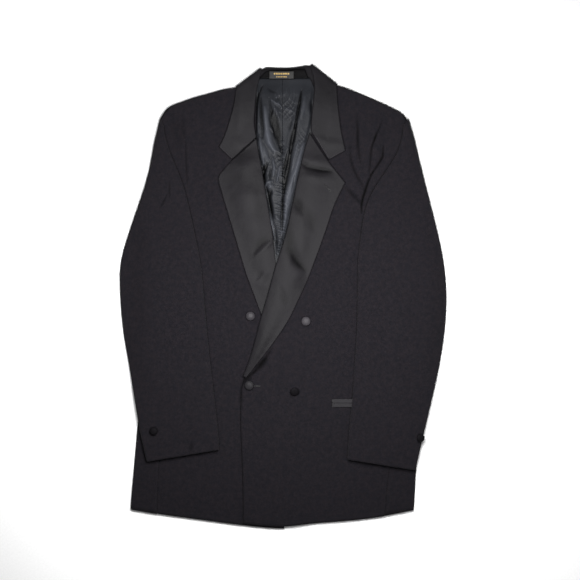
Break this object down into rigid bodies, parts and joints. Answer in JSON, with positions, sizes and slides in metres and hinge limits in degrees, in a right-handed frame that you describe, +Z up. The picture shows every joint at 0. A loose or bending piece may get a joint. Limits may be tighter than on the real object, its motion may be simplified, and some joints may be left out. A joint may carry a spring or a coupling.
{
  "type": "double-breasted dinner jacket, laid flat",
  "caption": "Dinner jacket laid flat, face up, with its sleeves folded over the fronts, satin lapels and collar, and covered buttons.",
  "frame": {"origin": "centre of the bounding box, on the surface that the jacket lies on", "axes": "+X towards the wearer's left side, +Y from the hem to the collar, +Z up from the table, out of the fronts"},
  "size_m": [0.5716, 0.8116, 0.0222],
  "materials": {
    "wool": "matt black worsted barathea wool",
    "satin": "black satin facing with a soft sheen",
    "lining": "dark slate satin lining",
    "label": "plain dark woven label",
    "button_satin": "black satin drawn over a domed button"
  },
  "bodies": {
    "root": {"back_right": "wool", "back_left": "wool", "side_panel_right": "wool", "side_panel_left": "wool", "front_right": "wool", "front_left": "wool", "top_sleeve_right": "wool", "top_sleeve_left": "wool", "under_sleeve_right": "wool", "under_sleeve_left": "wool", "lapel_right": "satin", "lapel_left": "satin", "collar": "satin", "collar_stand": "satin", "pocket_left_upper_jet": "satin", "pocket_left_lower_jet": "satin", "pocket_right_upper_jet": "satin", "pocket_right_lower_jet": "satin", "back_lining_right": "lining", "back_lining_left": "lining", "neck_label": "label", "front_button_upper_right_side": "button_satin", "front_button_upper_left_side": "button_satin", "front_button_lower_right_side": "button_satin", "front_button_lower_left_side": "button_satin", "sleeve_button_right": "button_satin", "sleeve_button_left": "button_satin"}
  },
  "joints": []
}
